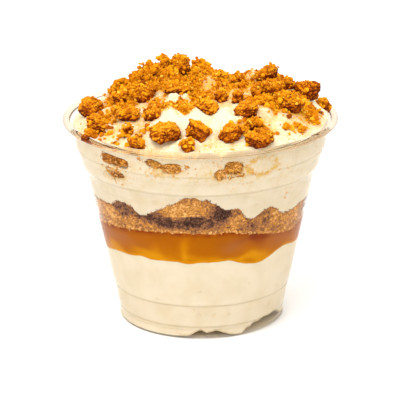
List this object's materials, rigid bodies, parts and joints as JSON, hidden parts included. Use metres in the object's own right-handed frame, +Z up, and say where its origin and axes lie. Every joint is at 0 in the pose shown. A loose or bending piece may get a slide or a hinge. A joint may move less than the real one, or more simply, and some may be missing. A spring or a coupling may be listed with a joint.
{
  "type": "tiramisu-style layered dessert in a clear plastic cup",
  "caption": "Layered cream dessert in a squat clear cup with a rolled rim: pale cream, amber gel, crushed biscuit and a mound of cream topped with biscuit pieces and crumbs.",
  "frame": {"origin": "middle of the cup's flat underside", "axes": "+Z up along the cup's axis, +X to the right and +Y away from the camera of the picture"},
  "size_m": [0.095, 0.095, 0.0907],
  "materials": {
    "clear_cup": "clear, thin and glossy",
    "bottom_cream": "smooth, soft cream",
    "amber_gel": "wet amber gel",
    "crushed_biscuit": "rough crushed biscuit",
    "top_cream": "soft whipped cream",
    "biscuit": "rough crumbly biscuit"
  },
  "bodies": {
    "root": {"cup": "clear_cup", "bottom_cream": "bottom_cream", "amber_layer": "amber_gel", "biscuit_layer": "crushed_biscuit", "top_cream": "top_cream", "biscuit_01": "biscuit", "biscuit_02": "biscuit", "biscuit_03": "biscuit", "biscuit_04": "biscuit", "biscuit_05": "biscuit", "biscuit_06": "biscuit", "biscuit_07": "biscuit", "biscuit_08": "biscuit", "biscuit_09": "biscuit", "biscuit_10": "biscuit", "biscuit_11": "biscuit", "biscuit_12": "biscuit", "biscuit_13": "biscuit", "biscuit_14": "biscuit", "biscuit_15": "biscuit", "biscuit_16": "biscuit", "biscuit_17": "biscuit", "biscuit_18": "biscuit", "biscuit_19": "biscuit", "biscuit_20": "biscuit", "biscuit_21": "biscuit", "biscuit_22": "biscuit", "biscuit_23": "biscuit", "biscuit_24": "biscuit", "biscuit_25": "biscuit", "biscuit_26": "biscuit", "biscuit_27": "biscuit", "biscuit_28": "biscuit", "biscuit_29": "biscuit", "biscuit_30": "biscuit", "biscuit_31": "biscuit", "biscuit_32": "biscuit", "biscuit_33": "biscuit", "biscuit_34": "biscuit", "biscuit_35": "biscuit", "biscuit_36": "biscuit", "biscuit_37": "biscuit", "biscuit_38": "biscuit", "biscuit_39": "biscuit", "biscuit_40": "biscuit", "wall_biscuit_1": "biscuit", "wall_biscuit_2": "biscuit", "wall_biscuit_3": "biscuit", "wall_biscuit_4": "biscuit", "wall_biscuit_5": "biscuit", "wall_biscuit_6": "biscuit", "wall_biscuit_7": "biscuit", "wall_biscuit_8": "biscuit", "wall_biscuit_9": "biscuit"}
  },
  "joints": []
}
